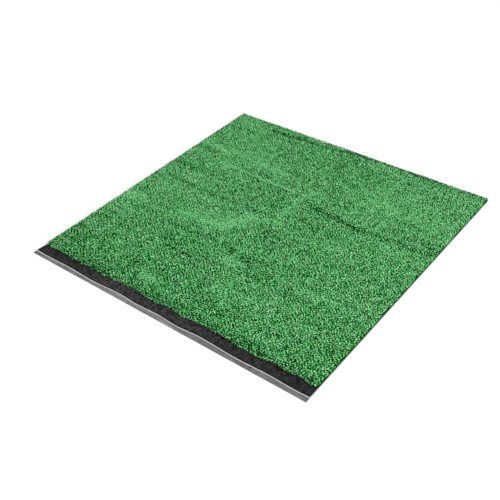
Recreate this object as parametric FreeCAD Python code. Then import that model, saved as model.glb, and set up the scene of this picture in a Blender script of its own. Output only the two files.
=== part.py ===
"""A square hitting mat of tufted turf on a thin foam pad.

The mat lies in its own frame: X along the tuft rows, Y from the bare selvedge to the far edge, Z up out
of the pile, and the origin under the middle of the mat, on the ground. Lengths are in millimetres.

From the ground up it is a foam pad, a hot-melt film, a latex coat, a woven backing and the tuft rows.
Each row stands on the backing as a fan of cut yarn. Below the fan its stitches pass through the backing,
and the back-stitch under them lies in a groove of the latex, which locks the row in.
"""

import FreeCAD, Part
import math
import os

# Driving dimensions: the mat.
MAT_WIDTH = 1000.0
MAT_DEPTH = 1000.0
# The left side is cut in from the front corner, along a slant, and the pile stands inside that cut.
SIDE_TRIM = 11.0
TRIM_RUN = 100.0

# Driving dimensions: the layers, from the ground up.
PAD_THICKNESS = 3.0
FILM_THICKNESS = 0.3
COAT_THICKNESS = 0.9
BACKING_THICKNESS = 0.8
PILE_HEIGHT = 10.0

# Driving dimensions: the bare strips in front of the pile. The backing is cut by hand, so its edge wanders.
PAD_LEDGE = 14.5
SELVEDGE = 32.5
COAT_REVEAL = 1.6
FILM_REVEAL = 2.4
# The wandering of the cut: how far along the width, as a share of it, and how far behind the mean line.
CUT_WAVE = (
    (0.00, -0.5),
    (0.07, -2.0),
    (0.13, -0.4),
    (0.18, -1.4),
    (0.26, -2.9),
    (0.357, 2.2),
    (0.416, -1.0),
    (0.505, 1.9),
    (0.57, -1.6),
    (0.624, 2.4),
    (0.703, 2.0),
    (0.79, -0.6),
    (0.87, 2.3),
    (0.93, 0.7),
    (1.00, 2.0),
)

# Driving dimensions: the tuft rows.
ROW_GAUGE = 9.525
ROW_GAP = 0.5
ROOT_WIDTH = 2.6
FAN_BELLY = 0.55
FAN_BELLY_WIDTH = 7.4
CROWN_RISE = 0.9
EDGE_STITCH = 3.0

# Driving dimensions: the stitches below the fan.
NEEDLE_SLOT = 1.0
STITCH_WIDTH = 2.2
STITCH_KEEL = 1.4
STITCH_DEPTH = 0.5

# How the rows are shared out among the files.
ROWS_IN_NODE = 4

# Heights worked out from the layers.
FILM_BASE = PAD_THICKNESS
COAT_BASE = FILM_BASE + FILM_THICKNESS
BACKING_BASE = COAT_BASE + COAT_THICKNESS
PILE_BASE = BACKING_BASE + BACKING_THICKNESS

# Places worked out from the mat.
LEFT = -MAT_WIDTH / 2.0
FRONT = -MAT_DEPTH / 2.0
RIGHT = MAT_WIDTH / 2.0
BACK = MAT_DEPTH / 2.0
PILE_LEFT = LEFT + SIDE_TRIM
PILE_WIDTH = RIGHT - PILE_LEFT
PILE_FRONT = FRONT + PAD_LEDGE + SELVEDGE
ROW_COUNT = int(math.floor((BACK - PILE_FRONT) / ROW_GAUGE))
STITCH_LEFT = PILE_LEFT + EDGE_STITCH
STITCH_LENGTH = PILE_WIDTH - 2.0 * EDGE_STITCH


def row_centre(row):
    """Y of a row's middle. The rows are set out from the back edge, one gauge apart."""
    return BACK - ROW_GAUGE * (ROW_COUNT - row - 0.5)


def left_side(y):
    """X of the cut left side: it slants in from the front corner, and is straight from there on."""
    return LEFT + SIDE_TRIM * min((y - FRONT) / TRIM_RUN, 1.0)


def layer(base, thickness, front_edge, front_left):
    """A layer: its front edge, then straight sides and back, and the slant to the front edge's left end."""
    corners = [
        front_edge.valueAt(front_edge.LastParameter),
        FreeCAD.Vector(RIGHT, BACK, base),
        FreeCAD.Vector(PILE_LEFT, BACK, base),
        FreeCAD.Vector(PILE_LEFT, FRONT + TRIM_RUN, base),
        front_left,
    ]
    edges = [Part.LineSegment(a, b).toShape() for a, b in zip(corners, corners[1:])]
    return Part.Face(Part.Wire([front_edge] + edges)).extrude(FreeCAD.Vector(0, 0, thickness))


def save(node, solids):
    """Write the solids of one node to its own file."""
    shape = solids[0] if len(solids) == 1 else Part.makeCompound(solids)
    shape.exportStep("parts/" + node + ".step")
    print(node, "solids", len(solids), "volume", round(shape.Volume))


def sheet(base, thickness, reveal):
    """A layer of the laminate, cut along the wave at the front.

    reveal is how far the layer's front edge stands out in front of the backing's.
    """
    mean = FRONT + PAD_LEDGE - reveal
    points = [FreeCAD.Vector(LEFT + share * MAT_WIDTH, mean + wave, base) for share, wave in CUT_WAVE]
    points[0].x = left_side(points[0].y)
    cut = Part.BSplineCurve()
    cut.interpolate(points)
    return layer(base, thickness, cut.toShape(), points[0])


def bar(profile, left, length):
    """A prism along X from a closed profile of (y, z) points."""
    ring = [FreeCAD.Vector(left, y, z) for y, z in profile + profile[:1]]
    return Part.Face(Part.makePolygon(ring)).extrude(FreeCAD.Vector(length, 0, 0))


def fan(y):
    """The standing pile of a row: narrow at the root, widest at the belly, with a low crown on top."""
    root = ROOT_WIDTH / 2.0
    belly = FAN_BELLY_WIDTH / 2.0
    top = (ROW_GAUGE - ROW_GAP) / 2.0
    shoulder = PILE_BASE + PILE_HEIGHT - CROWN_RISE
    corners = [
        FreeCAD.Vector(PILE_LEFT, y - top, shoulder),
        FreeCAD.Vector(PILE_LEFT, y - belly, PILE_BASE + FAN_BELLY * PILE_HEIGHT),
        FreeCAD.Vector(PILE_LEFT, y - root, PILE_BASE),
        FreeCAD.Vector(PILE_LEFT, y + root, PILE_BASE),
        FreeCAD.Vector(PILE_LEFT, y + belly, PILE_BASE + FAN_BELLY * PILE_HEIGHT),
        FreeCAD.Vector(PILE_LEFT, y + top, shoulder),
    ]
    crest = FreeCAD.Vector(PILE_LEFT, y, PILE_BASE + PILE_HEIGHT)
    crown = Part.Arc(corners[-1], crest, corners[0]).toShape()
    sides = [Part.LineSegment(a, b).toShape() for a, b in zip(corners, corners[1:])]
    return Part.Face(Part.Wire(sides + [crown])).extrude(FreeCAD.Vector(PILE_WIDTH, 0, 0))


def stitch_slot(y):
    """The line of needle holes through the backing, drawn as one slot."""
    half = NEEDLE_SLOT / 2.0
    profile = [(y - half, BACKING_BASE), (y + half, BACKING_BASE), (y + half, PILE_BASE), (y - half, PILE_BASE)]
    return bar(profile, STITCH_LEFT, STITCH_LENGTH)


def back_stitch(y):
    """The yarn that runs along under the backing, pressed to a keel in the latex."""
    half = STITCH_WIDTH / 2.0
    keel = STITCH_KEEL / 2.0
    low = BACKING_BASE - STITCH_DEPTH
    profile = [(y - half, BACKING_BASE), (y - keel, low), (y + keel, low), (y + half, BACKING_BASE)]
    return bar(profile, STITCH_LEFT, STITCH_LENGTH)


def tuft_row(y):
    """One whole row: the fan, the stitches through the backing and the back-stitch, in one piece."""
    return fan(y).fuse([stitch_slot(y), back_stitch(y)]).removeSplitter().Solids[0]


def shock_pad():
    """The foam sheet under everything. Its front strip shows as a ledge."""
    front_left = FreeCAD.Vector(LEFT, FRONT, 0)
    front_edge = Part.LineSegment(front_left, FreeCAD.Vector(RIGHT, FRONT, 0)).toShape()
    return layer(0, PAD_THICKNESS, front_edge, front_left)


def latex_coat():
    """The coat that binds the tufts, with a groove for each back-stitch."""
    grooves = [back_stitch(row_centre(row)) for row in range(ROW_COUNT)]
    return sheet(COAT_BASE, COAT_THICKNESS, COAT_REVEAL).cut(Part.makeCompound(grooves)).Solids[0]


def primary_backing():
    """The woven cloth that the yarn is tufted into, with a stitch slot for each row."""
    slots = [stitch_slot(row_centre(row)) for row in range(ROW_COUNT)]
    return sheet(BACKING_BASE, BACKING_THICKNESS, 0.0).cut(Part.makeCompound(slots)).Solids[0]


def pile_nodes():
    """The rows from front to back, a few to a node."""
    for first in range(0, ROW_COUNT, ROWS_IN_NODE):
        rows = range(first, min(first + ROWS_IN_NODE, ROW_COUNT))
        number = first // ROWS_IN_NODE + 1
        yield "pile_rows_%02d" % number, [tuft_row(row_centre(row)) for row in rows]


os.makedirs("parts", exist_ok=True)
save("shock_pad", [shock_pad()])
save("adhesive_film", [sheet(FILM_BASE, FILM_THICKNESS, FILM_REVEAL)])
save("latex_coat", [latex_coat()])
save("primary_backing", [primary_backing()])
for name, rows in pile_nodes():
    save(name, rows)
print("rows", ROW_COUNT, "height", PILE_BASE + PILE_HEIGHT)
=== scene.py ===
# %% [markdown]
# # A golf hitting mat in tufted turf
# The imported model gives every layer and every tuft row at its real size, and this notebook dresses
# it. The pile, the cloth, the foam and the glue line get new surfaces, and the latex keeps its
# solid. The surfaces are worked out as whole numpy arrays, because a square metre of turf has more
# than two hundred thousand blades.

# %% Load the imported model
import bpy
import math
from types import SimpleNamespace
import numpy as np
from mathutils import Matrix, Vector


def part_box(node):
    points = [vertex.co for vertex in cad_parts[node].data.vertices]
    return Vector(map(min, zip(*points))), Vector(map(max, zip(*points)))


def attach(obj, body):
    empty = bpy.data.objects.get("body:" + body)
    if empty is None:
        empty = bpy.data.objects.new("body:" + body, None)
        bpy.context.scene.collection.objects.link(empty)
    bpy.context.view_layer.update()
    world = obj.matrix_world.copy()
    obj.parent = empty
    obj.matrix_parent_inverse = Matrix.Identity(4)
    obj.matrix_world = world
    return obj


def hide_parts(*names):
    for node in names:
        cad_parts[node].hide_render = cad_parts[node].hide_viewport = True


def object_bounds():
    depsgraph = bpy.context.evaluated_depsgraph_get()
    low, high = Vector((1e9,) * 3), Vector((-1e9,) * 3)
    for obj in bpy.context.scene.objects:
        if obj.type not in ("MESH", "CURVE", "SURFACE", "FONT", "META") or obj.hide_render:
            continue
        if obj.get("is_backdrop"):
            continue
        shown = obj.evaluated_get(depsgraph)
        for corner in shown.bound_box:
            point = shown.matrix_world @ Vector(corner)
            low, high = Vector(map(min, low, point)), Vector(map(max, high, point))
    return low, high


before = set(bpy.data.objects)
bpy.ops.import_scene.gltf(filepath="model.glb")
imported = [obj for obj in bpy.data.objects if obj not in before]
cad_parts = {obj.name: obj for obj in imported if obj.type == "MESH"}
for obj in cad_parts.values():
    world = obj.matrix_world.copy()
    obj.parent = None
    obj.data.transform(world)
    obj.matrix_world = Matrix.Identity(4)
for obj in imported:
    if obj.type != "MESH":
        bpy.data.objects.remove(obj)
CAD_LOW, CAD_HIGH = (tuple(corner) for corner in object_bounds())
PILE_NODES = sorted(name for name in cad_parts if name.startswith("pile_rows_"))
MM = 0.001
print("nodes", len(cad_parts), "of which pile", len(PILE_NODES))
print("mat box", np.round(CAD_LOW, 4), np.round(CAD_HIGH, 4))

# %% [markdown]
# ## The camera
# The mat is seen from in front of its bare selvedge and to the right, from about shoulder height.
# The camera could be turned by Euler angles, but it is easier to say where it stands and how it
# faces. So its turn is built from three angles: round the mat, down towards it, and a slight tilt
# of the horizon, as in a hand-held view.

# %% The camera's place and turn
CAMERA_AT = (1.2135, -1.4916, 1.4530)
CAMERA_AZIMUTH = 38.45
CAMERA_ELEVATION = 38.82
CAMERA_ROLL = -2.48


def facing(azimuth, elevation, roll):
    """The camera's turn. Its back axis stands off the mat at the azimuth and elevation, its right
    axis is level, and both right and up are then turned about the back axis by the roll."""
    a, e, r = (math.radians(v) for v in (azimuth, elevation, roll))
    back = Vector((math.sin(a) * math.cos(e), -math.cos(a) * math.cos(e), math.sin(e)))
    level = Vector((math.cos(a), math.sin(a), 0.0))
    up = back.cross(level)
    right = level * math.cos(r) + up * math.sin(r)
    return Matrix((right, back.cross(right), back)).transposed()


turn = facing(CAMERA_AZIMUTH, CAMERA_ELEVATION, CAMERA_ROLL)
print("camera looks along", tuple(round(v, 3) for v in -turn.col[2]))

# %% Place the camera
LENS_MM = 56.17
SENSOR_MM = 36.0
LENS_SHIFT = (-0.05, 0.0)


def make_camera():
    """A camera with a fixed lens and a small shift of its frame."""
    data = bpy.data.cameras.new("camera")
    data.lens, data.sensor_width = LENS_MM, SENSOR_MM
    data.shift_x, data.shift_y = LENS_SHIFT
    camera = bpy.data.objects.new("camera", data)
    camera.matrix_world = Matrix.Translation(CAMERA_AT) @ turn.to_4x4()
    bpy.context.collection.objects.link(camera)
    bpy.context.scene.camera = camera


make_camera()
print("camera at", CAMERA_AT, "lens", LENS_MM)

# %% [markdown]
# ## Helpers for materials
# Colours are written as sRGB hex, as a paint card gives them, and one function turns them to the
# linear values that the shaders work in. A shader tree could be wired by hand in the editor. Here
# one function gives a node its values and another adds a node, so that every tree below can be read
# as text.

# %% Colour helper
def linear(code):
    """An sRGB hex colour as linear red, green, blue and alpha: each channel c becomes c / 12.92
    where it is small, and ((c + 0.055) / 1.055) to the power 2.4 elsewhere."""
    value = np.array([int(code[i:i + 2], 16) for i in (1, 3, 5)]) / 255.0
    value = np.where(value <= 0.04045, value / 12.92, ((value + 0.055) / 1.055) ** 2.4)
    return (*value.tolist(), 1.0)


print("middle grey #808080 is", round(linear("#808080")[0], 3), "in linear light")

# %% Node helpers
def feed(tree, made, values):
    """Gives a node its values. They are pairs of a setting's name or a socket, and what it gets: a
    plain value, or another node's output, which is linked."""
    for key, value in values:
        if isinstance(value, bpy.types.NodeSocket):
            tree.links.new(value, made.inputs[key])
        elif isinstance(key, str) and hasattr(made, key):
            setattr(made, key, value)
        else:
            made.inputs[key].default_value = value


def node(tree, kind, values=(), stops=()):
    """Adds a node with its values. stops are (place, hex colour) pairs, for a colour ramp."""
    made = tree.nodes.new("ShaderNode" + kind)
    feed(tree, made, values)
    if stops:
        elements = made.color_ramp.elements
        while len(elements) < len(stops):
            elements.new(1.0)
        for element, (place, code) in zip(elements, stops):
            element.position, element.color = place, linear(code)
    return made


def new_material(name):
    """A material with an empty Principled shader, and its tree and shader."""
    material = bpy.data.materials.new(name)
    material.use_nodes = True
    return material, material.node_tree, material.node_tree.nodes["Principled BSDF"]


# Places of a Mix node's inputs and outputs. It has a pair of inputs for each kind of value.
SHARE, NUMBER_A, NUMBER_B, COLOUR_A, COLOUR_B = 0, 2, 3, 6, 7
MIXED_NUMBER, MIXED_COLOUR = 0, 2
print("a Mix node takes its colours at inputs", COLOUR_A, "and", COLOUR_B)

# %% [markdown]
# ## A helper for meshes
# Every surface below ends as an array of points and an array of faces. from_pydata would take them
# as lists, which is slow for a million faces, so the arrays go into the mesh whole.

# %% Mesh helper
BODY = "root"
SHARP_ANGLE = math.radians(35)


def make_piece(name, points, faces, material, uv=None, smooth=False):
    """An object at the origin from points (n, 3) and a list of face arrays (m, corners)."""
    mesh = bpy.data.meshes.new(name)
    counts = np.concatenate([np.full(len(f), f.shape[1]) for f in faces])
    corners = np.concatenate([f.ravel() for f in faces]).astype(np.int32)
    starts = np.concatenate([[0], np.cumsum(counts)[:-1]]).astype(np.int32)
    mesh.vertices.add(len(points))
    mesh.loops.add(len(corners))
    mesh.polygons.add(len(counts))
    mesh.vertices.foreach_set("co", points.astype(np.float32).ravel())
    mesh.loops.foreach_set("vertex_index", corners)
    mesh.polygons.foreach_set("loop_start", starts)
    if uv is not None:
        layer = mesh.uv_layers.new(name="OFBake")
        layer.data.foreach_set("uv", uv[corners].astype(np.float32).ravel())
    mesh.polygons.foreach_set("use_smooth", np.full(len(counts), smooth))
    mesh.update(calc_edges=True)
    mesh.validate()
    if smooth:
        mesh.set_sharp_from_angle(angle=SHARP_ANGLE)
    mesh.materials.append(material)
    piece = bpy.data.objects.new(name, mesh)
    bpy.context.collection.objects.link(piece)
    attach(piece, BODY)
    return piece


print("pieces ride on", BODY)

# %% [markdown]
# ## Where the pile leans, thins and shines
# Rolled turf is never even. Where rows lean apart, a dark parting shows the cloth, and where the
# pile was brushed or folded it shows its flat sides and looks lighter. Such marks could be painted
# on a map. Here each is a soft stroke in real millimetres, because it has to move the blades as
# well as tint them. The tint is painted shade in a parting and painted light where it lies flat.

# %% Soft strokes and slow noise
HALF_GRID = 0.7


def stroke(x, y, ax, ay, bx, by, width):
    """A bell around the line from a to b: exp(-(d / width) squared), with d the distance to it."""
    dx, dy = bx - ax, by - ay
    along = np.clip(((x - ax) * dx + (y - ay) * dy) / (dx * dx + dy * dy), 0.0, 1.0)
    away = np.hypot(x - ax - along * dx, y - ay - along * dy)
    return np.exp(-(away / width) ** 2)


def strokes(x, y, marks):
    """The strongest of the marks at each place."""
    return np.max([strength * stroke(x, y, *line) for *line, strength in marks], axis=0)


def drift(x, y, cell_x, cell_y, seed):
    """Slow noise from -1 to 1: random heights on a lattice of cells, eased between them by
    3t^2 - 2t^3. The lattice reaches HALF_GRID to each side of the middle."""
    cells = (int(2 * HALF_GRID / cell_x) + 3, int(2 * HALF_GRID / cell_y) + 3)
    grid = np.random.default_rng(seed).uniform(-1, 1, cells)
    u, v = (x + HALF_GRID) / cell_x, (y + HALF_GRID) / cell_y
    i, j = np.floor(u).astype(int), np.floor(v).astype(int)
    s, t = u - i, v - j
    s, t = s * s * (3 - 2 * s), t * t * (3 - 2 * t)
    low = grid[i, j] * (1 - s) + grid[i + 1, j] * s
    high = grid[i, j + 1] * (1 - s) + grid[i + 1, j + 1] * s
    return low * (1 - t) + high * t


fade = stroke(0, 10 * MM, 0, 0, 1, 0, 10 * MM)
print("a mark fades to", round(float(fade), 2), "at its half width")

# %% Marks on the pile
# Start, end and half width in millimetres from the middle of the mat, and strength in per cent.
MARK_UNITS = np.array([1000] * 5 + [100])
PARTINGS = np.array([
    (45, 157, 114, 150, 13, 90), (114, 150, 253, 131, 11, 100), (253, 136, 460, 140, 10, 55),
    (460, 175, 500, 145, 14, 60), (-489, 112, -351, 112, 10, 60), (-351, 112, -153, 128, 9, 35),
    (-64, 160, -14, 100, 18, 40), (-440, 33, -331, 33, 9, 60), (-291, 30, -94, 32, 8, 30),
    (-103, 36, -54, 34, 10, 45), (-321, 462, -143, 467, 8, 100), (-143, 467, -14, 482, 7, 60),
    (-24, 485, 104, 490, 8, 100), (104, 493, 500, 498, 7, 100), (-489, 405, -370, 407, 8, 50),
    (-489, 237, -390, 232, 13, 60), (-192, 208, -143, 208, 8, 60), (5, 255, 75, 250, 13, 40),
    (342, 232, 401, 232, 9, 50), (15, 380, 35, 500, 16, 25), (45, 430, 45, 470, 8, 80),
    (85, 70, 203, 52, 12, 50), (5, -30, 94, -40, 28, 22), (-14, -162, 5, -168, 9, 90),
    (55, -176, 94, -190, 10, 90), (-252, -160, -74, -158, 9, 35), (-192, -256, -84, -254, 8, 70),
    (-489, -258, -291, -260, 8, 30), (104, -220, 421, -225, 10, 20), (203, -60, 451, -55, 9, 30),
    (164, -135, 243, -138, 9, 40), (-489, -370, -370, -380, 35, 18),
    (-93, -360, 94, -370, 25, 18), (164, -360, 401, -370, 25, 16),
    (-222, -360, -173, -360, 12, 35),
]) / MARK_UNITS
BRUSHED = np.array([
    (-252, -100, -113, -80, 24, 100), (-113, -80, -54, 0, 26, 100), (-54, 0, 25, 30, 18, 60),
    (-489, 268, -370, 265, 20, 90), (-370, 265, -143, 266, 18, 55),
    (-212, 262, -123, 262, 20, 90), (-370, 192, -14, 192, 9, 70),
    (-489, -112, -291, -118, 14, 60), (183, 280, 460, 280, 35, 50), (15, 50, 15, 220, 9, 90),
    (144, 22, 500, 18, 12, 35), (144, -180, 500, -182, 10, 40), (-489, -178, -93, -178, 9, 35),
    (15, -200, 55, -220, 30, 50), (65, -310, 134, -340, 26, 60), (-173, -370, -113, -390, 20, 70),
    (-311, -340, -252, -350, 24, 50),
]) / MARK_UNITS
print("partings", len(PARTINGS), "brushed marks", len(BRUSHED))

# %% How the pile stands
PARTING_WANDER = 4 * MM
SLOPE_STEP = 2 * MM
# Streaks and clouds are painted light and shade for the pile's lean.
STREAK_TONE, FINE_STREAK_TONE, CLOUD_TONE = 0.6, 0.15, 0.4
STREAK_FADE = ((-0.3, 0.1, 0.5), (1.0, 0.8, 0.45))
FRONT_SHADE = 0.7
FRONT_SHADE_FROM = -0.44
FRONT_SHADE_REACH = 80 * MM


def pile_state(x, y):
    """How the pile stands at each place: its tone from -1 (dark) to 1 (light), how far a parting
    opens it, how far it has been brushed flat, and which way the nearest parting pushes it. The
    tone is painted light and shade for the pile's lean: streaks along the rows, fainter towards the
    back, with slow clouds, and painted shade along the front. The push is downhill from the
    parting's line, by the difference of two samples a step apart."""
    shifted = y + PARTING_WANDER * drift(x, y, 60 * MM, 300 * MM, seed=5)
    part = strokes(x, shifted, PARTINGS)
    flat = strokes(x, y, BRUSHED)
    tone = STREAK_TONE * drift(x, y, 120 * MM, 10 * MM, seed=11)
    tone += FINE_STREAK_TONE * drift(x, y, 35 * MM, 20 * MM, seed=12)
    tone *= np.interp(y, *STREAK_FADE)
    tone += CLOUD_TONE * drift(x, y, 200 * MM, 100 * MM, seed=13)
    tone -= FRONT_SHADE * np.exp(-np.clip(y - FRONT_SHADE_FROM, 0, None) / FRONT_SHADE_REACH)
    low, high = (strokes(x, shifted + step, PARTINGS) for step in (-SLOPE_STEP, SLOPE_STEP))
    return tone, part, flat, low - high


tone, part, flat, away = pile_state(np.array([0.1]), np.array([0.15]))
print("in the main parting: tone", tone.round(2), "opened by", part.round(2))

# %% [markdown]
# ## The yarn
# Tufted practice turf is polypropylene tape: film slit into ribbons, drawn so that it stays
# upright, dyed through and cut to length. To the eye that gives a dull, slightly cool green whose
# light and dark tapes lie side by side, with pale cut ends. The foot of each tuft is darkened as
# painted shade, and the palest tones carry painted glints. A texture could carry the tones, but no
# two blades share one. So a blade's colour is read from its own map: across the map is its tone,
# and up the map is the height along the blade.

# %% Yarn material
# The palest green stop is whiter than dyed tape: with the gloss turned nearly off, it is a painted
# glint on the flat tips.
YARN_TONES_AND_GLINTS = ((0.00, "#003c06"), (0.20, "#006e08"), (0.45, "#088e0c"), (0.70, "#5ce77b"),
              (0.93, "#bfffc6"), (0.96, "#a8a274"), (1.00, "#a8a274"))
# The near-black green that the foot of each blade is mixed towards: painted shade deep in the pile.
SHADED_FOOT_GREEN = "#021805"
FOOT_SHADE = 0.95
LIT_FROM = 0.6
POLYPROPYLENE_IOR = 1.49
YARN_TRANSLUCENCE = 0.12


def yarn_material():
    """Polypropylene tape: tone across the map, and up the map painted shade at the foot that
    fades out at LIT_FROM, below the bright tip.
    """
    material, tree, shader = new_material("polypropylene_tape_yarn")
    place = node(tree, "UVMap", [("uv_map", "OFBake")]).outputs["UV"]
    parts = node(tree, "SeparateXYZ", [("Vector", place)]).outputs
    tone = node(tree, "ValToRGB", [("Fac", parts["X"])], YARN_TONES_AND_GLINTS).outputs["Color"]
    shade = node(tree, "MapRange", [
        ("Value", parts["Y"]), ("From Max", LIT_FROM), ("To Min", FOOT_SHADE), ("To Max", 0.0)])
    colour = node(tree, "Mix", [
        ("data_type", "RGBA"), (SHARE, shade.outputs["Result"]), (COLOUR_A, tone),
        (COLOUR_B, linear(SHADED_FOOT_GREEN))]).outputs[MIXED_COLOUR]
    feed(tree, shader, [("Base Color", colour), ("Roughness", 0.26), ("IOR", POLYPROPYLENE_IOR),
                        ("Specular IOR Level", 0.02)])
    through = node(tree, "BsdfTranslucent", [("Color", colour)]).outputs["BSDF"]
    both = node(tree, "MixShader", [
        (SHARE, YARN_TRANSLUCENCE), (1, shader.outputs["BSDF"]), (2, through)])
    feed(tree, tree.nodes["Material Output"], [("Surface", both.outputs["Shader"])])
    return material


yarn = yarn_material()
print("yarn tones", len(YARN_TONES_AND_GLINTS))

# %% [markdown]
# ## Where the tufts stand
# Along each row the needle leaves a tuft every few millimetres, and each tuft is a bundle of cut
# tapes that fan out from one hole. A particle system could scatter them, but it would not keep to
# the rows or stop at the knife's cut. So the tufts are set out on the rows' own lines, with a
# little scatter that fades at the cut sides. The first rows wander, because the selvedge was
# trimmed and the tufts beside it were pushed about.

# %% The pile's measures
ROW_GAUGE = 9.525 * MM
STITCH = 6.5 * MM
BACKING_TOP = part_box("primary_backing")[1][2]
PILE_HEIGHT = CAD_HIGH[2] - BACKING_TOP
PILE_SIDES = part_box(PILE_NODES[0])[0][0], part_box(PILE_NODES[0])[1][0]
BACK = CAD_HIGH[1]
FIRST_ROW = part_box(PILE_NODES[0])[0][1] + 0.5 * ROW_GAUGE
RIM_WIDTH = 9 * MM


def edge_share(place, low, high):
    """1 at the cut edges low and high, easing to 0 a tuft's width inside them."""
    return np.clip(1 - np.minimum(place - low, high - place) / RIM_WIDTH, 0, 1)


print("pile", round(PILE_HEIGHT / MM, 2), "mm high, sides", np.round(PILE_SIDES, 4))

# %% The wander of the first rows
# How far the first rows stand back from a straight line: metres from the middle, and millimetres.
FRONT_WANDER = (
    (-0.49, -1), (-0.46, -2.5), (-0.34, -2.5), (-0.25, -3), (-0.22, -1), (-0.19, 1), (-0.15, 1),
    (-0.133, 5.5), (-0.115, 4), (-0.09, 1), (-0.05, 0), (-0.02, 2), (0, 5), (0.01, 4), (0.03, 1),
    (0.06, -1), (0.08, -1.5), (0.10, 1), (0.13, 4), (0.20, 4), (0.22, 0), (0.25, -2), (0.29, -2),
    (0.33, 1), (0.35, 4.5), (0.38, 6.5), (0.395, 1), (0.42, 0.5), (0.44, 3.5), (0.46, 3.5),
    (0.475, 0), (0.50, 6))
WANDERING_ROWS = 3


def wander(x, y):
    """How far a tuft of the front rows stands back from its line: in full in the first row, and not
    at all from the fourth row on."""
    places, back = np.array(FRONT_WANDER).T
    fade = np.clip(1 - (y - FIRST_ROW) / (WANDERING_ROWS * ROW_GAUGE), 0, 1)
    return np.interp(x, places, back * MM) * fade


print("first row in the middle:", round(float(wander(0.0, FIRST_ROW)) / MM, 1), "mm back")

# %% Tufts on the rows' lines
EDGE_TUFT = 1.2 * MM
EDGE_PAIR = 2.6 * MM
SCATTER_ALONG = 0.5 * MM
SCATTER_ACROSS = 0.3 * MM


def tuft_rows(name, rng):
    """The tufts of a node, at x and y, one stitch apart along each row with a little scatter. A
    second tuft beside each end closes the cut side."""
    low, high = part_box(name)
    rows = int(round((high[1] - low[1]) / ROW_GAUGE))
    middle = (low[1] + high[1]) / 2.0
    along = int(round((high[0] - low[0]) / STITCH))
    x = np.linspace(low[0] + EDGE_TUFT, high[0] - EDGE_TUFT, along)
    x = np.concatenate([x, [x[0] + EDGE_PAIR, x[-1] - EDGE_PAIR]])
    y = middle + (np.arange(rows) - (rows - 1) / 2.0) * ROW_GAUGE
    x, y = (g.ravel() for g in np.meshgrid(x, y))
    x = x + rng.normal(0, SCATTER_ALONG, x.shape) * (1 - edge_share(x, *PILE_SIDES))
    return x, y + wander(x, y) + rng.normal(0, SCATTER_ACROSS, y.shape)


print("tufts in a node", len(tuft_rows(PILE_NODES[0], np.random.default_rng(0))[0]))

# %% [markdown]
# ## How a tuft leans
# A tuft leans as one: a random way, forward where it was brushed, away from a parting's line, and
# over the bare cloth in the first row. At the cut sides hardly a tip points outward, because the
# knife took them, and at the back the last tufts lean out a little. A rig could bend every tuft,
# but all of this is known from where the tuft stands, so a few sums give it at once.

# %% What the blades of a tuft share
# Leans, turns, curls and twists are in radians.
LEAN_SCATTER = 0.03
BRUSHED_LEAN = (0.10, 0.30)
PARTING_PUSH = 0.5
PARTING_SHADE = 2.0
BRUSHED_LIGHT = 1.3
RIM_SHADE = 2.2
FIRST_ROW_REACH = 1.5
FRONT_LEAN = 0.35
FRONT_CLUMP = 22 * MM


def front_lean(x):
    """How far the first row leans over the bare cloth: from none to twice FRONT_LEAN, in clumps."""
    return FRONT_LEAN + FRONT_LEAN * drift(x, 0 * x, FRONT_CLUMP, 1.0, seed=21)


def tuft_state(name, rng):
    """What the blades of each tuft share, as columns with one row for each tuft."""
    x, y = (place[:, None] for place in tuft_rows(name, rng))
    tone, part, flat, away = pile_state(x, y)
    side_rim = edge_share(x, *PILE_SIDES)
    back_rim = edge_share(y, -BACK, BACK)
    rim = np.maximum(side_rim, back_rim)
    first = np.clip(1 - (y - FIRST_ROW) / (FIRST_ROW_REACH * ROW_GAUGE), 0, 1)
    lean_x = rng.normal(0, LEAN_SCATTER, x.shape) - BRUSHED_LEAN[0] * flat
    lean_y = rng.normal(0, LEAN_SCATTER, x.shape) - BRUSHED_LEAN[1] * flat
    lean_y = lean_y + PARTING_PUSH * away - first * front_lean(x)
    # Painted shade in a parting and along the cut edges, and painted light where the pile was
    # brushed flat.
    tone = tone - PARTING_SHADE * part + BRUSHED_LIGHT * flat - RIM_SHADE * rim
    return SimpleNamespace(
        x=x, y=y, tone=tone, part=part, flat=flat, lean_x=lean_x, lean_y=lean_y,
        side_rim=side_rim, back_rim=back_rim, rim=rim, outward=np.sign(x))


sample = tuft_state(PILE_NODES[0], np.random.default_rng(0))
print("first rows lean forward by", round(float(-sample.lean_y.mean()), 2), "on average")

# %% [markdown]
# ## The blades
# The tape was crimped before it was tufted, so a blade stands up to its knee and then bends over
# its flat side, and the top of the pile is a mass of short tips that lie every way. Hair strands
# would be lighter to compute, but they are no surface, and instances of one tuft would all look
# alike. So each blade is a thin closed solid of six points: one at the foot, where the needle hole
# pinches the tape, a three-cornered ring at the knee, with two corners at the ribbon's edges and
# one on its keel, and a cut edge of two at the tip.

# %% Which way each blade stands
BLADES = 15
GOLDEN_ANGLE = math.pi * (3 - math.sqrt(5))
TURN_SCATTER = 0.35
SPLAY = 0.5
SPLAY_SCATTER = (0.85, 1.15)
RIM_SPLAY = 0.6
ROW_SQUEEZE = 0.9
EDGE_SPREAD = 0.4
BACK_LEAN = 0.5
BACK_TRIM = 0.4
MOST_LEAN = 1.0


def held_in(sideways, outward, rim):
    """A sideways part of a lean, with what points outward at a cut edge taken away."""
    return sideways * np.where(sideways * outward > 0, 1 - rim, 1)


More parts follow.
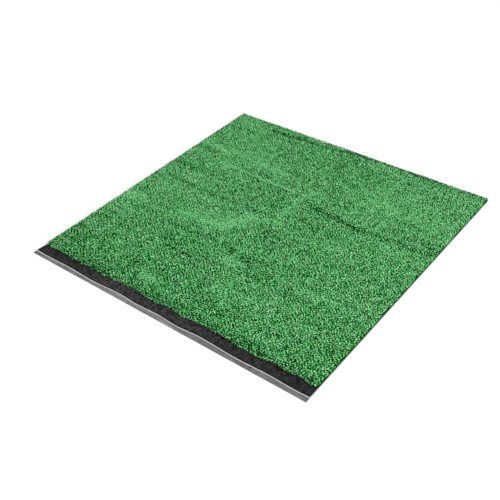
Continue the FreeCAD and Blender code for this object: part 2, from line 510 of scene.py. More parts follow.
def splayed(tuft, rng):
    """The way out from the tuft's middle, the angle from upright and the turn of each blade. The
    blades are set round the tuft a golden angle apart, further out one after another as the square
    root of their number, so that they cover it evenly. At a cut edge they spread along it."""
    shape = (len(tuft.x), BLADES)
    count = np.arange(BLADES)
    out = GOLDEN_ANGLE * count + rng.uniform(0, 2 * np.pi, tuft.x.shape)
    out = out + rng.normal(0, TURN_SCATTER, shape)
    splay = SPLAY * np.sqrt((count + 0.5) / BLADES) * rng.uniform(*SPLAY_SCATTER, shape)
    splay = splay * (1 + RIM_SPLAY * tuft.rim)
    spread = EDGE_SPREAD * rng.uniform(-1, 1, shape)
    x = held_in(tuft.lean_x + splay * np.cos(out), tuft.outward, tuft.side_rim)
    x = x + tuft.back_rim * spread
    y = tuft.lean_y + splay * np.sin(out) * ROW_SQUEEZE + BACK_LEAN * tuft.back_rim
    y = held_in(y, 1, BACK_TRIM * tuft.back_rim) + tuft.side_rim * spread
    return out, np.minimum(np.hypot(x, y), MOST_LEAN), np.arctan2(y, x)


print("blades in a tuft", BLADES)

# %% Foot, knee and tip
TUFT_FOOT = (1.3 * MM, 0.8 * MM)
FOOT_SINK = 0.3 * MM
KNEE_SHARE = (0.45, 0.95)
RIM_KNEE = 0.97
RIM_RISE = 0.85
PARTING_DIP = 0.35
TIP_LENGTH = (1.6 * MM, 3.2 * MM)
RIM_TIP = 0.5
TIP_TURN = 0.5
TIP_TRIM = (0.8, 0.5)
CURL = (0.9, 1.4)
FLAT_CURL = 0.15
MOST_CURL = 1.5


def bearing(angle, turn):
    """Unit vectors at an angle from upright, leaning towards a turn about the vertical."""
    return np.stack([np.sin(angle) * np.cos(turn), np.sin(angle) * np.sin(turn), np.cos(angle)], -1)


def spines(tuft, rng):
    """Foot, knee and tip of each blade, the knee's height as a share of the pile's, and the tip's
    turn. The knee is up the blade's own lean, and the tip curls on from there, nearly level. A
    parting lowers the knees, and at the cut edges most of them reach nearly full height."""
    out, angle, turn = splayed(tuft, rng)
    shape = out.shape
    tip_turn = turn + rng.normal(0, TIP_TURN, shape)
    curl = np.minimum(angle + rng.uniform(*CURL, shape) + FLAT_CURL * tuft.flat, MOST_CURL)
    foot = np.stack([tuft.x + TUFT_FOOT[0] * np.cos(out) * rng.uniform(0, 1, shape),
                     tuft.y + TUFT_FOOT[1] * np.sin(out) * rng.uniform(0, 1, shape),
                     np.full(shape, BACKING_TOP - FOOT_SINK)], -1)
    share = rng.uniform(*KNEE_SHARE, shape)
    share += tuft.rim * RIM_RISE * (RIM_KNEE - share)
    stand = PILE_HEIGHT * share * (1 - PARTING_DIP * tuft.part * (1 - tuft.back_rim))
    reach = rng.uniform(*TIP_LENGTH, shape) * (1 + RIM_TIP * tuft.rim)
    knee = foot + (stand / np.cos(angle))[..., None] * bearing(angle, turn)
    bend = reach[..., None] * bearing(curl, tip_turn)
    bend[..., 0] = held_in(bend[..., 0], tuft.outward, TIP_TRIM[0] * tuft.side_rim)
    bend[..., 1] = held_in(bend[..., 1], 1, TIP_TRIM[1] * tuft.back_rim)
    return foot, knee, knee + bend, share, tip_turn


tips = spines(sample, np.random.default_rng(0))[2]
print("highest tip before the shear", round(tips[..., 2].max() / MM, 1), "mm")

# %% Six points to a blade
BLADE_WIDTH = 1.9 * MM
WIDTH_SCATTER = (0.7, 1.3)
BLADE_KEEL = 0.28 * MM
SLANT = 0.7  # the sine and cosine of about 45 degrees
TIP_WIDTH_SHARE = 0.8
TWIST = 0.35
ROLL = 0.35
OVERHANG = 0.8 * MM
BLADE_FACES = np.array([[0, 2, 1], [0, 3, 2], [0, 1, 3], [1, 2, 5], [1, 5, 4], [2, 3, 5],
                        [3, 1, 4], [3, 4, 5]])


def ribbons(foot, knee, tip, tip_turn, rng):
    """The six points of each blade, (tufts, blades, 6, 3): the tape lies across the way that its
    tip turns, rolled a little, with its keel at a slant forward and below. The shear has cut it
    level with the top of the pile and just outside the cut edges."""
    shape = tip_turn.shape
    twist = tip_turn + np.pi / 2 + rng.normal(0, TWIST, shape)
    side = np.stack([np.cos(twist), np.sin(twist), np.zeros(shape)], -1)
    below = np.stack([np.cos(tip_turn), np.sin(tip_turn), -np.ones(shape)], -1) * SLANT
    half = (0.5 * BLADE_WIDTH * rng.uniform(*WIDTH_SCATTER, shape))[..., None]
    roll = rng.normal(0, ROLL, shape)[..., None] * half * np.array([0, 0, 1.0])
    tip_half = TIP_WIDTH_SHARE * half * side
    points = np.stack([
        foot, knee - half * side - roll, knee + half * side + roll, knee + BLADE_KEEL * below,
        tip - tip_half - roll, tip + tip_half + roll], -2)
    points[..., 0] = np.clip(points[..., 0], PILE_SIDES[0] - OVERHANG, PILE_SIDES[1] + OVERHANG)
    points[..., 1] = np.minimum(points[..., 1], BACK + OVERHANG)
    points[..., 2] = np.minimum(points[..., 2], CAD_HIGH[2])
    return points


print("triangles in a blade", len(BLADE_FACES))

# %% [markdown]
# ## The tones of the blades
# Light and dark tapes lie side by side in the yarn, so the pile is speckled finely and evenly. Their
# spread is wider than in dyed tape: it also paints the shade between the blades and glints on them.
# Plain random tones would clump into blotches. A sum of waves of nearly one length, which run every
# way, has no blotches, so it decides which tapes are light, and a bent curve makes most of them
# plainly light or dark.

# %% Speckle
SPECKLE = 8.0 * MM
SPECKLE_WAVES = 14
WAVE_SCATTER = (0.85, 1.15)
FULL_TURN = 6.3
SPECKLE_SEED = 61


def speckle(x, y):
    """A sum of waves about SPECKLE long that run every way, divided so that its spread is 1."""
    rng = np.random.default_rng(SPECKLE_SEED)
    turns = (np.arange(SPECKLE_WAVES) + rng.uniform(0, 1, SPECKLE_WAVES)) * np.pi / SPECKLE_WAVES
    field = 0
    for turn in turns:
        length = SPECKLE * rng.uniform(*WAVE_SCATTER)
        along = x * np.cos(turn) + y * np.sin(turn)
        field = field + np.cos(2 * np.pi / length * along + rng.uniform(0, FULL_TURN))
    return field * math.sqrt(2 / SPECKLE_WAVES)


print("speckle's spread", round(float(speckle(tips[..., 0], tips[..., 1]).std()), 2))

# %% Map places of the blades
SPECKLE_GAIN, BLADE_GAIN = 1.1, 0.3
FLAT_CALM = 0.5
LIGHT_BIAS = 0.45
TONE_GAIN = 0.45
CONTRAST = 2
TONE_MIDDLE = 0.42
TONE_HALF = 0.40
# How much darker a low knee is than a high one: painted shade.
DEPTH_SHADE = 0.15
TONE_SCATTER = 0.05
GREEN_TONES = (0.01, 0.93)
TAN_TONE = 0.98
TAN_SHARE = 0.008
LIT_SIDE = 0.7
MAP_STRIP = 0.004
MAP_ACROSS = np.array([0.5, 0, 1, 0.5, 0, 1]) * MAP_STRIP
MAP_UP = np.array([0.02, 0.5, 0.5, 0.5, 0.98, 0.98])


def map_places(tuft, middle, share, rng):
    """The places of each blade's six points on the yarn's map, (tufts, blades, 6, 2). A blade has
    one tone, lighter the higher its knee is, which paints the shade deep in the pile, and a few are
    the tan of dry tape. At the cut sides light reaches the foot, so such a blade's places start
    further up the map."""
    shape = share.shape
    speck = SPECKLE_GAIN * speckle(middle[..., 0], middle[..., 1])
    speck = (speck + BLADE_GAIN * rng.normal(0, 1, shape)) * (1 - FLAT_CALM * tuft.flat)
    light = np.tanh(CONTRAST * (speck + LIGHT_BIAS + TONE_GAIN * tuft.tone))
    depth = (share - KNEE_SHARE[0]) / (KNEE_SHARE[1] - KNEE_SHARE[0]) - 0.5
    tone = TONE_MIDDLE + TONE_HALF * light + DEPTH_SHADE * depth
    tone = np.clip(tone + rng.normal(0, TONE_SCATTER, shape), *GREEN_TONES)
    tone = np.where(rng.random(shape) < TAN_SHARE, TAN_TONE, tone)
    up = 1 - (1 - MAP_UP) * (1 - LIT_SIDE * tuft.side_rim[..., None])
    return np.stack([tone[..., None] + MAP_ACROSS, np.broadcast_to(up, shape + (6,))], -1)


print("one blade in", round(1 / TAN_SHARE), "is tan")

# %% The pile
PILE_SEED = 400


def make_pile(name, seed):
    """The blades of a node as one piece that stands for it."""
    rng = np.random.default_rng(seed)
    tuft = tuft_state(name, rng)
    foot, knee, tip, share, tip_turn = spines(tuft, rng)
    points = ribbons(foot, knee, tip, tip_turn, rng).reshape(-1, 3)
    uv = map_places(tuft, (knee + tip) / 2, share, rng).reshape(-1, 2)
    faces = (np.arange(0, len(points), 6)[:, None, None] + BLADE_FACES).reshape(-1, 3)
    piece = make_piece(name.replace("pile_rows", "tufts"), points, [faces], yarn, uv)
    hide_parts(name)
    return len(faces)


triangles = sum(make_pile(name, PILE_SEED + i) for i, name in enumerate(PILE_NODES))
print("blades", triangles // len(BLADE_FACES), "triangles", triangles)

# %% [markdown]
# ## Slabs for the layers
# Under the pile lie four thin layers. Three of them, the foam, the glue and the cloth, show more
# than a plain solid has. A plane with a Solidify modifier would do, but its corners would be razor
# sharp. So each is a grid: a top surface over x and y, a bottom below it, and a wall round the
# border with two rings, which soften its corners as a knife leaves them.

# %% Slab helpers
def steps(*stretches):
    """Places along a line: each stretch is (start, end, spacing), and joined ends are kept once."""
    parts = [np.linspace(a, b, max(2, int(round((b - a) / gap)) + 1)) for a, b, gap in stretches]
    return np.concatenate([parts[0]] + [part[1:] for part in parts[1:]])


def slab(x, y, top, bottom, corner, flat_bottom=False):
    """A closed slab from grids x, y, top and bottom, all (n, m). The surfaces stop a corner's width
    inside the border, and two rings of the border at full width join them. A flat bottom is one
    face with many sides."""
    n, m = x.shape
    inward = np.zeros((n, m, 2))
    inward[0, :, 0], inward[-1, :, 0] = 1, -1
    inward[:, 0, 1], inward[:, -1, 1] = 1, -1
    index = np.arange(n * m).reshape(n, m)
    border = np.concatenate([index[:-1, 0], index[-1, :-1], index[:0:-1, -1], index[0, :0:-1]])
    inner = np.stack([x, y], -1) + corner * inward
    upper = np.concatenate([inner, top[..., None]], -1).reshape(-1, 3)
    lower = np.concatenate([inner, bottom[..., None]], -1).reshape(-1, 3)
    edge = np.stack([x, y], -1).reshape(-1, 2)[border]
    ring_high = np.concatenate([edge, (top.ravel()[border] - corner)[:, None]], -1)
    ring_low = np.concatenate([edge, (bottom.ravel()[border] + corner)[:, None]], -1)
    quads = np.stack([index[:-1, :-1], index[1:, :-1], index[1:, 1:], index[:-1, 1:]], -1)
    quads = quads.reshape(-1, 4)
    count = len(border)
    loop = n * m + np.arange(count)
    if flat_bottom:
        points = np.concatenate([upper, ring_high, ring_low, lower[border]])
        base = loop + 2 * count
        under = base[::-1][None, :]
    else:
        points = np.concatenate([upper, ring_high, ring_low, lower])
        base = n * m + 2 * count + border
        under = (quads + n * m + 2 * count)[:, ::-1]
    walls = [np.stack([below, np.roll(below, -1), np.roll(above, -1), above], -1)
             for below, above in ((loop, border), (loop + count, loop), (base, loop + count))]
    return points, [quads, np.concatenate(walls), under]


print("5 mm steps over the mat", len(steps((CAD_LOW[0], CAD_HIGH[0], 5 * MM))))

# %% The cut edges
FRONT_REACH = 9 * MM
LEFT_REACH = 12 * MM
SIDE_FADE = 40 * MM


def cut_edge(name, axis, reach):
    """The left edge (axis 0) or the front edge (axis 1) of a layer, as a function of the other
    coordinate. It is read from the node's own corners within reach of that side, with straight
    lines between them."""
    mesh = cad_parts[name].data
    co = np.empty(len(mesh.vertices) * 3)
    mesh.vertices.foreach_get("co", co)
    co = co.reshape(-1, 3)
    near = co[co[:, axis] < co[:, axis].min() + reach]
    order = np.argsort(near[:, 1 - axis])
    return lambda place: np.interp(place, near[order, 1 - axis], near[order, axis])


def trimmed(x, y):
    """x moved in from the left, so that a grid's first places follow the slanted left side. The
    move fades out over SIDE_FADE."""
    side = cut_edge("shock_pad", 0, LEFT_REACH)(y)
    return x + (side - x.min()) * np.clip(1 - (x - x.min()) / SIDE_FADE, 0, 1)


backing_front = cut_edge("primary_backing", 1, FRONT_REACH)
print("the selvedge's edge in the middle: y", round(float(backing_front(0.0)), 4))

# %% [markdown]
# ## The foam pad
# The pad is cross-linked polyethylene foam, split to 3 mm and grey right through. Splitting leaves
# long faint lines and a slightly wavy skin, the cut sides show the cells, and the underside carries
# the fine linen mark of the laminating roll. A strip of it stands out in front of the turf. Waves
# in the bump alone would leave its edge ruler-straight, so they are in the mesh, with one small
# nick, and only cells and linen are bump.

# %% Places and layers of colour
def in_units(tree, sizes):
    """Object coordinates divided by a size along each axis, in metres, so that each becomes 1."""
    place = node(tree, "TexCoord").outputs["Object"]
    scale = tuple(1 / size for size in sizes)
    return node(tree, "Mapping", [("Scale", scale), ("Vector", place)]).outputs["Vector"]


def along_front(tree):
    """0 at the left side of the mat and 1 at the right."""
    parts = node(tree, "SeparateXYZ", [("Vector", in_units(tree, (1.0, 1.0, 1.0)))]).outputs
    return node(tree, "MapRange", [("Value", parts["X"]), ("From Min", CAD_LOW[0]),
                                   ("From Max", CAD_HIGH[0])]).outputs["Result"]


def darkened(tree, colour, layers):
    """A colour multiplied by each layer in turn: its share, its factor and its ramp's stops."""
    for share, factor, stops in layers:
        layer = node(tree, "ValToRGB", [("Fac", factor)], stops).outputs["Color"]
        colour = node(tree, "Mix", [
            ("data_type", "RGBA"), ("blend_type", "MULTIPLY"), (SHARE, share), (COLOUR_A, colour),
            (COLOUR_B, layer)]).outputs[MIXED_COLOUR]
    return colour


print("tones along the front span", round(CAD_HIGH[0] - CAD_LOW[0], 3), "m")

# %% Foam colour
FOAM_SKIN = ((0.0, "#7c7c7c"), (0.07, "#898989"), (0.27, "#939393"), (0.34, "#a7a7a7"),
             (0.50, "#9e9e9e"), (0.60, "#8f8f8f"), (0.66, "#888888"), (1.0, "#8a8a8c"))
SPLIT_LINE = (70 * MM, 4.5 * MM, 4.5 * MM)
FOAM_FLECK = (9 * MM, 4 * MM, 4 * MM)
NICK_AT = (0.322, -0.4895)
NICK_SIZE = (4.8 * MM, 2.6 * MM)


def foam_colour(tree):
    """Grey skin along the ledge, darkened by split lines, by flecks, and by painted shade in the
    nick.
    """
    split = node(tree, "TexNoise", [
        ("Scale", 1.0), ("Detail", 2.0), ("Roughness", 0.5),
        ("Vector", in_units(tree, SPLIT_LINE))])
    fleck = node(tree, "TexNoise", [
        ("Scale", 1.0), ("Detail", 3.0), ("Roughness", 0.7),
        ("Vector", in_units(tree, FOAM_FLECK))])
    # Painted shade in the nick: darkest at its middle.
    centre = (NICK_AT[0] / NICK_SIZE[0], NICK_AT[1] / NICK_SIZE[1], 0.0)
    nick_shade = node(tree, "VectorMath", [
        ("operation", "DISTANCE"), (0, in_units(tree, (*NICK_SIZE, 1.0))), (1, centre)])
    skin = node(tree, "ValToRGB", [("Fac", along_front(tree))], FOAM_SKIN).outputs["Color"]
    return darkened(tree, skin, (
        (0.8, split.outputs["Fac"], ((0.35, "#b0b0b0"), (0.65, "#ffffff"))),
        (0.8, fleck.outputs["Fac"], ((0.38, "#b4b2b2"), (0.62, "#ffffff"))),
        (1.0, nick_shade.outputs["Value"], ((0.6, "#3a3a3a"), (1.0, "#ffffff")))))


print("nick at", NICK_AT)

# %% Foam relief and material
FOAM_CELL = 0.6 * MM
LINEN = 1.6 * MM
BANDS = 3.14159  # a wave texture has about this many bands in each of its units
FACES_DOWN = -0.5
POLYETHYLENE_IOR = 1.49


def foam_relief(tree):
    """Cells everywhere, and on faces that look down also the crossed waves of the linen mark."""
    cells = node(tree, "TexVoronoi", [
        ("Scale", 1.0), ("Vector", in_units(tree, (FOAM_CELL,) * 3))]).outputs["Distance"]
    threads = [node(tree, "TexWave", [
        ("bands_direction", axis), ("Scale", 1.0),
        ("Vector", in_units(tree, (LINEN * BANDS,) * 3))]).outputs["Fac"] for axis in ("X", "Y")]
    normal = node(tree, "NewGeometry").outputs["Normal"]
    upright = node(tree, "SeparateXYZ", [("Vector", normal)]).outputs["Z"]
    under = node(tree, "Math", [("operation", "LESS_THAN"), (0, upright), (1, FACES_DOWN)])
    crossed = node(tree, "Math", [("operation", "ADD"), (0, threads[0]), (1, threads[1])])
    linen = node(tree, "Math", [
        ("operation", "MULTIPLY"), (0, crossed.outputs[0]), (1, under.outputs[0])])
    height = node(tree, "Math", [("operation", "ADD"), (0, cells), (1, linen.outputs[0])])
    bump = node(tree, "Bump", [
        ("Strength", 0.35), ("Distance", 0.2 * MM), ("Height", height.outputs[0])])
    return bump.outputs["Normal"]


def foam_material():
    """Cross-linked polyethylene foam: a dull grey split skin, cut cells and a linen underside."""
    material, tree, shader = new_material("crosslinked_polyethylene_foam")
    feed(tree, shader, [
        ("Base Color", foam_colour(tree)), ("Roughness", 0.72), ("IOR", POLYETHYLENE_IOR),
        ("Specular IOR Level", 0.35), ("Normal", foam_relief(tree))])
    return material


foam = foam_material()
print("foam material nodes", len(foam.node_tree.nodes))

# %% Foam pad
FOAM_CORNER = 0.35 * MM
FOAM_WAVE = 0.12 * MM
NICK_DEPTH = 2.2 * MM
LEDGE_GRID = 20 * MM
WIDE_STEP, NICK_STEP, LEDGE_STEP, HIDDEN_STEP = 5 * MM, 1 * MM, 1.25 * MM, 40 * MM


def make_foam_pad():
    """The pad: a slab whose skin waves gently, by slow noise, with a bell-shaped nick near the
    right end. The grid is fine on the ledge, finer at the nick, and wide under the turf."""
    low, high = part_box("shock_pad")
    ledge = low[1] + LEDGE_GRID
    left, right = NICK_AT[0] - 4 * NICK_SIZE[0], NICK_AT[0] + 4 * NICK_SIZE[0]
    xs = steps((low[0], left, WIDE_STEP), (left, right, NICK_STEP), (right, high[0], WIDE_STEP))
    ys = steps((low[1], ledge, LEDGE_STEP), (ledge, high[1], HIDDEN_STEP))
    x, y = np.meshgrid(xs, ys, indexing="ij")
    x = trimmed(x, y)
    wave = FOAM_WAVE * (drift(x, y, 30 * MM, 6 * MM, seed=31) - 1)
    nick = np.exp(-((x - NICK_AT[0]) / NICK_SIZE[0]) ** 2 - ((y - NICK_AT[1]) / NICK_SIZE[1]) ** 2)
    top = high[2] + np.where(y < ledge, wave, 0) - NICK_DEPTH * nick
    bottom = low[2] + 0.5 * FOAM_WAVE * (1 + drift(x, y, 50 * MM, 40 * MM, seed=32))
    points, faces = slab(x, y, top, bottom, FOAM_CORNER)
    pad = make_piece("foam_pad", points, faces, foam, smooth=True)
    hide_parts("shock_pad")
    return pad


pad = make_foam_pad()
print("foam pad", len(pad.data.polygons), "faces")

# %% [markdown]
# ## The woven backing
# The turf is tufted into cloth: black polypropylene tapes woven over one, under one. The needles
# start about two fingers' width from its front edge, so a bare selvedge is left, cut by hand along
# a slightly wavy line. Its first few millimetres behind the cut are drawn darker. An image of cloth
# could be laid on it, but it would blur close up. So each tape gets its own tone by its number. Real
# tapes are about 1.3 mm wide. They are drawn at 2.5 mm, or the weave would vanish from any distance.
# The crests are in the mesh, and the streaks on a tape in the bump.

# %% Cloth tones
TAPE = 2.5 * MM
TAPE_SEEDS = (("X", 0.5), ("Y", 90.5))
CLOTH_TONES = ((0.0, "#333232"), (0.15, "#3c3b3c"), (0.28, "#555354"), (0.45, "#504f4f"),
               (0.60, "#4c4b4c"), (0.8, "#484748"), (1.0, "#383839"))
CLOTH_FLECK = (9 * MM, 7 * MM, 7 * MM)


def tape_on_top(tree):
    """The number of the tape along each axis, and 1 where the tape of the second set is on top:
    half of the two numbers' sum has a fraction of a half on every other crossing."""
    cell = node(tree, "VectorMath", [("operation", "FLOOR"), (0, in_units(tree, (TAPE,) * 3))])
    number = node(tree, "SeparateXYZ", [("Vector", cell.outputs["Vector"])]).outputs
    both = node(tree, "Math", [("operation", "ADD"), (0, number["X"]), (1, number["Y"])]).outputs[0]
    half = node(tree, "Math", [("operation", "MULTIPLY"), (0, both), (1, 0.5)]).outputs[0]
    part = node(tree, "Math", [("operation", "FRACT"), (0, half)]).outputs[0]
    over = node(tree, "Math", [("operation", "GREATER_THAN"), (0, part), (1, 0.25)]).outputs[0]
    return number, over


def cloth_colour(tree, number, over):
    """Black along the selvedge, with a tone for each tape, flecks, and darker near the cut edge."""
    tones = []
    for axis, shift in TAPE_SEEDS:
        seed = node(tree, "Math", [("operation", "ADD"), (0, number[axis]), (1, shift)]).outputs[0]
        tones.append(node(tree, "TexWhiteNoise", [("noise_dimensions", "1D"), ("W", seed)]))
    tone = node(tree, "Mix", [
        ("data_type", "FLOAT"), (SHARE, over), (NUMBER_A, tones[0].outputs["Value"]),
        (NUMBER_B, tones[1].outputs["Value"])]).outputs[MIXED_NUMBER]
    fleck = node(tree, "TexNoise", [
        ("Scale", 1.0), ("Detail", 3.0), ("Roughness", 0.7),
        ("Vector", in_units(tree, CLOTH_FLECK))])
    # Darker within a few millimetres of the cut front edge.
    edge_dark = node(tree, "Attribute", [("attribute_name", "from_edge")])
    black = node(tree, "ValToRGB", [("Fac", along_front(tree))], CLOTH_TONES).outputs["Color"]
    return darkened(tree, black, (
        (0.8, tone, ((0.0, "#8c8c8c"), (1.0, "#ffffff"))),
        (1.0, fleck.outputs["Fac"], ((0.38, "#5a565a"), (0.62, "#ffffff"))),
        (1.0, edge_dark.outputs["Fac"], ((0.55, "#5c5c5c"), (1.0, "#ffffff")))))


print("tapes across the selvedge", round((FIRST_ROW - float(backing_front(0.0))) / TAPE))

# %% Cloth material
STREAKS = ((0.3 * MM, 6 * MM, 6 * MM), (6 * MM, 0.3 * MM, 6 * MM))


def cloth_material():
    """Black polypropylene slit tape in plain weave: dull, with fine streaks along each tape."""
    material, tree, shader = new_material("woven_polypropylene_tape")
    number, over = tape_on_top(tree)
    streaks = [node(tree, "TexNoise", [
        ("Scale", 1.0), ("Detail", 2.0), ("Roughness", 0.5),
        ("Vector", in_units(tree, size))]).outputs["Fac"] for size in STREAKS]
    streak = node(tree, "Mix", [
        ("data_type", "FLOAT"), (SHARE, over), (NUMBER_A, streaks[0]), (NUMBER_B, streaks[1])])
    bump = node(tree, "Bump", [
        ("Strength", 0.5), ("Distance", 0.15 * MM), ("Height", streak.outputs[MIXED_NUMBER])])
    feed(tree, shader, [
        ("Base Color", cloth_colour(tree, number, over)), ("Normal", bump.outputs["Normal"]),
        ("Roughness", 0.55), ("IOR", POLYPROPYLENE_IOR), ("Specular IOR Level", 0.1)])
    return material


tape_cloth = cloth_material()
print("cloth material nodes", len(tape_cloth.node_tree.nodes))

# %% Weave
CREST = 0.32 * MM


def weave(x, y):
    """The height of a plain weave: each crossing is a crest, cos(pi a) along the tape that is on
    top and 1 - a^2 across it, where a runs from -1/2 to 1/2 over one tape."""
    s, t = x / TAPE, y / TAPE
    a, b = s - np.floor(s) - 0.5, t - np.floor(t) - 0.5
    warp_on_top = (np.floor(s) + np.floor(t)) % 2 < 0.5
    along, round_it = np.where(warp_on_top, b, a), np.where(warp_on_top, a, b)
    return np.cos(np.pi * along) * (1 - round_it ** 2)


print("height in the middle of a tape", float(weave(0.5 * TAPE, 0.5 * TAPE)))

# %% Cloth
CLOTH_CORNER = 0.15 * MM
CLOTH_RIPPLE = 0.25 * MM
UNDER_PILE = 4 * MM
SELVEDGE_STEPS, HIDDEN_STEPS = 30, 4
# How far behind the cut front edge the cloth is drawn darker.
EDGE_DARK_REACH = 4.5 * MM


def make_cloth():
    """The backing: woven crests on the bare selvedge, flat cloth under the pile, and a cut wavy
    front edge. The attribute from_edge is 0 at that edge and 1 from EDGE_DARK_REACH behind it on."""
    low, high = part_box("primary_backing")
    xs = steps((CAD_LOW[0], high[0], TAPE / 2))
    edge = backing_front(xs)[:, None]
    bare = FIRST_ROW + UNDER_PILE
    v = steps((0.0, 1.0, 1 / SELVEDGE_STEPS), (1.0, 2.0, 1 / HIDDEN_STEPS))
    x, v = np.meshgrid(xs, v, indexing="ij")
    y = np.where(v <= 1, edge + v * (bare - edge), bare + (v - 1) * (high[1] - bare))
    x = trimmed(x, y)
    ripple = CLOTH_RIPPLE * (drift(x, y, 50 * MM, 20 * MM, seed=41) - 1)
    top = high[2] + np.where(y < bare, CREST * (weave(x, y) - 1) + ripple, 0)
    points, faces = slab(x, y, top, np.full(x.shape, low[2]), CLOTH_CORNER, flat_bottom=True)
    cloth = make_piece("woven_backing", points, faces, tape_cloth, smooth=True)
    from_edge = cloth.data.attributes.new("from_edge", "FLOAT", "POINT")
    distance = points[:, 1] - backing_front(points[:, 0])
    from_edge.data.foreach_set("value", np.clip(distance / EDGE_DARK_REACH, 0, 1).astype(np.float32))
    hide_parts("primary_backing")
    return cloth


cloth = make_cloth()
print("cloth", len(cloth.data.polygons), "faces")

# %% [markdown]
# ## The glue line and the latex
# A film of hot-melt glue joins the turf to the pad. Where it was pressed it crept out in front of
# the latex, as a pale, soft bead of uneven width. A swept curve would give an even bead, so the
# film's own front is raised to a half round whose edge creeps by slow noise. The latex is a plain
# dried coat, and only its cut edge shows, so it keeps its solid. Both look pale and slightly waxy,
# in soft lumps.

# %% Pale polymers
def pale_polymer(name, tones, lump, roughness, depth):
    """A pale dried polymer: two tones in soft lumps of a size, with the same lumps in its bump."""
    material, tree, shader = new_material(name)
    lumps = node(tree, "TexNoise", [
        ("Scale", 1.0), ("Detail", 3.0), ("Roughness", 0.6),
        ("Vector", in_units(tree, (lump * 2, lump, lump)))]).outputs["Fac"]
    colour = node(tree, "ValToRGB", [("Fac", lumps)], tuple(zip((0.3, 0.7), tones)))
    bump = node(tree, "Bump", [("Strength", 0.5), ("Distance", depth), ("Height", lumps)])
    feed(tree, shader, [("Base Color", colour.outputs["Color"]), ("Roughness", roughness),
                        ("Normal", bump.outputs["Normal"])])
    return material


hot_melt = pale_polymer(
    "eva_hot_melt", ("#868687", "#cacacb"), lump=5 * MM, roughness=0.42, depth=0.2 * MM)
latex = pale_polymer(
    "dried_sbr_latex", ("#a0a0a1", "#c9c9ca"), lump=4 * MM, roughness=0.6, depth=0.15 * MM)
print("polymers", hot_melt.name, latex.name)

# %% Glue line and latex
BEAD = 0.35 * MM
BEAD_WIDTH = 2.2 * MM
BEAD_SINK = 0.12 * MM
BEAD_POINTS = 9
SQUEEZE = 0.8 * MM
FINE_SQUEEZE = 0.35
GLUE_CORNER = 0.08 * MM
GLUE_STEP = 2.5 * MM


def make_glue():
    """The film, with a bead along its front: a half round, BEAD * sqrt(1 - a^2), whose front edge
    creeps out by slow noise."""
    low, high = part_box("adhesive_film")
    xs = steps((CAD_LOW[0], high[0], GLUE_STEP))
    edge = cut_edge("adhesive_film", 1, FRONT_REACH)(xs)[:, None]
    fine = FINE_SQUEEZE * drift(xs, 0 * xs, 7 * MM, 1.0, seed=52)
    creep = SQUEEZE * np.clip(drift(xs, 0 * xs, 21 * MM, 1.0, seed=51) + fine, 0, 1)[:, None]
    a = np.sin(np.linspace(-0.5, 0.5, BEAD_POINTS) * np.pi)
    bead = edge - creep + (a + 1) / 2 * (BEAD_WIDTH + creep)
    rest = np.linspace(low[1] + HIDDEN_STEP, high[1], HIDDEN_STEPS + 1)
    y = np.concatenate([bead, np.broadcast_to(rest, (len(xs), len(rest)))], 1)
    x = trimmed(np.broadcast_to(xs[:, None], y.shape), y)
    top = np.full(y.shape, high[2])
    top[:, :BEAD_POINTS] += BEAD * np.sqrt(np.clip(1 - a ** 2, 0, 1)) - BEAD_SINK
    points, faces = slab(x, y, top, np.full(y.shape, low[2]), GLUE_CORNER, flat_bottom=True)
    glue = make_piece("glue_line", points, faces, hot_melt, smooth=True)
    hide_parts("adhesive_film")
    return glue


glue = make_glue()
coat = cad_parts["latex_coat"]
coat.data.materials.clear()
coat.data.materials.append(latex)
print("glue line", len(glue.data.polygons), "faces")

# %% [markdown]
# ## The studio
# The mat lies on a plain white floor, under a wide soft light from the front and a lower, softer
# one from the right that opens up its cut side. A brighter floor would throw light back on the mat.
# So floor and world are white only to rays that show them, and pale to those that light the mat.

# %% Floor
FLOOR_SIZE = 12.0
FLOOR_LIGHT = "#d8d8d8"
WHITE = (1, 1, 1, 1)


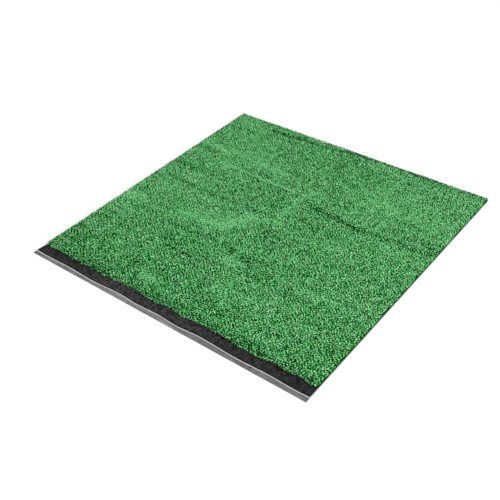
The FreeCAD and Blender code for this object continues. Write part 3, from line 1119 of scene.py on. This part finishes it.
def looked_at(tree):
    """1 for rays that show the background: from the camera, off gloss or through a clear part."""
    path = node(tree, "LightPath").outputs
    seen = path["Is Camera Ray"]
    for ray in ("Is Glossy Ray", "Is Transmission Ray"):
        seen = node(tree, "Math", [("operation", "MAXIMUM"), (0, seen), (1, path[ray])]).outputs[0]
    return seen


def make_floor():
    """A floor that keeps the mat's shadow. It is seen as white but lights the mat as pale grey."""
    material, tree, shader = new_material("studio_floor")
    seen = node(tree, "Mix", [
        ("data_type", "RGBA"), (SHARE, looked_at(tree)), (COLOUR_A, linear(FLOOR_LIGHT)),
        (COLOUR_B, WHITE)])
    feed(tree, shader, [("Base Color", seen.outputs[MIXED_COLOUR]), ("Roughness", 1.0),
                        ("Specular IOR Level", 0.0)])
    h = FLOOR_SIZE / 2
    mesh = bpy.data.meshes.new("floor")
    mesh.from_pydata([(-h, -h, 0), (h, -h, 0), (h, h, 0), (-h, h, 0)], [], [(0, 1, 2, 3)])
    mesh.materials.append(material)
    floor = bpy.data.objects.new("floor", mesh)
    bpy.context.collection.objects.link(floor)
    floor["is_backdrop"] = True


make_floor()
print("floor", FLOOR_SIZE, "m square")

# %% Lamps and world
def make_sun(name, from_top, round_from_front, strength, spread):
    """A far, even light. Its angles and its soft width are in degrees."""
    data = bpy.data.lights.new(name, "SUN")
    data.energy, data.angle = strength, math.radians(spread)
    sun = bpy.data.objects.new(name, data)
    sun.rotation_euler = (math.radians(from_top), 0.0, math.radians(round_from_front))
    bpy.context.collection.objects.link(sun)


WORLD_LIGHT = 0.15
make_sun("key_light", from_top=38, round_from_front=5, strength=2.67, spread=12)
make_sun("fill_light", from_top=68, round_from_front=85, strength=1.7, spread=60)
world = bpy.data.worlds.new("studio")
bpy.context.scene.world = world
world.use_nodes = True
sky = world.node_tree
strength = node(sky, "Mix", [
    ("data_type", "FLOAT"), (SHARE, looked_at(sky)), (NUMBER_A, WORLD_LIGHT), (NUMBER_B, 1.0)])
feed(sky, sky.nodes["Background"], [
    ("Color", WHITE), ("Strength", strength.outputs[MIXED_NUMBER])])
bpy.context.scene.view_settings.view_transform = "Standard"
print("lamps", [lamp.name for lamp in bpy.data.lights])
